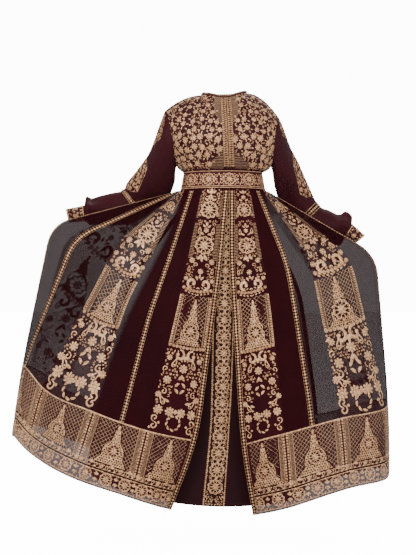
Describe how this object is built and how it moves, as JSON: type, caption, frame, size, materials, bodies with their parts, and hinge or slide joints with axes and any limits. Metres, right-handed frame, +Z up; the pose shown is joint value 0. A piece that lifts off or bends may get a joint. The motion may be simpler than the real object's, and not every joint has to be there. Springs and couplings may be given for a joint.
{
  "type": "kaftan",
  "caption": "Worn floor-length kaftan: round neck, belted waist, gathered sleeves, open embroidered overskirt held out at both sides over an inner skirt.",
  "frame": {"origin": "middle of the neck opening, level with the shoulder line, where the wearer holds the garment up", "axes": "+Z up, -Y the way the wearer faces, +X the wearer's left"},
  "size_m": [1.2795, 0.6526, 1.4012],
  "materials": {
    "sheer_cloth": "sheer dark burgundy chiffon, matt",
    "embroidered_cloth": "dark net worked all over with gold thread",
    "border_cloth": "dark net worked with a gold lattice and small beads",
    "belt_cloth": "burgundy cloth worked with gold scrolls and rosettes",
    "panel_cloth": "dark cloth worked with a row of gold rosettes",
    "gold_trim": "gold thread band with beads",
    "skirt_lining": "opaque dark burgundy lining, matt",
    "piping": "beige satin cord",
    "binding": "dark satin binding with small beads"
  },
  "bodies": {
    "root": {"belt": "belt_cloth", "belt_piping_bottom": "piping", "belt_piping_top": "piping", "bodice_back": "embroidered_cloth", "bodice_front_left": "embroidered_cloth", "bodice_front_right": "embroidered_cloth", "cuff_left": "embroidered_cloth", "cuff_right": "embroidered_cloth", "elbow_band_left": "gold_trim", "elbow_band_right": "gold_trim", "front_edge_trim_left": "gold_trim", "front_edge_trim_right": "gold_trim", "gore_trim_1": "gold_trim", "gore_trim_2": "gold_trim", "gore_trim_3": "gold_trim", "gore_trim_4": "gold_trim", "gore_trim_5": "gold_trim", "gore_trim_6": "gold_trim", "gore_trim_7": "gold_trim", "hem_border_back_left": "border_cloth", "hem_border_back_right": "border_cloth", "hem_border_front_left": "border_cloth", "hem_border_front_right": "border_cloth", "inner_skirt_back": "skirt_lining", "inner_skirt_front_left": "skirt_lining", "inner_skirt_front_right": "skirt_lining", "inner_skirt_panel": "panel_cloth", "inner_skirt_side_left": "skirt_lining", "inner_skirt_side_right": "skirt_lining", "lower_sleeve_left": "sheer_cloth", "lower_sleeve_right": "sheer_cloth", "neck_binding": "binding", "placket_trim_left": "gold_trim", "placket_trim_right": "gold_trim", "plain_gore_1": "sheer_cloth", "plain_gore_2": "sheer_cloth", "plain_gore_3": "sheer_cloth", "plain_gore_4": "sheer_cloth", "plain_gore_5": "sheer_cloth", "plain_gore_6": "sheer_cloth", "plain_gore_7": "sheer_cloth", "upper_sleeve_left": "sheer_cloth", "upper_sleeve_right": "sheer_cloth", "worked_gore_1": "embroidered_cloth", "worked_gore_2": "embroidered_cloth", "worked_gore_3": "embroidered_cloth", "worked_gore_4": "embroidered_cloth", "worked_gore_5": "embroidered_cloth", "worked_gore_6": "embroidered_cloth", "worked_gore_7": "embroidered_cloth", "worked_gore_8": "embroidered_cloth"}
  },
  "joints": []
}
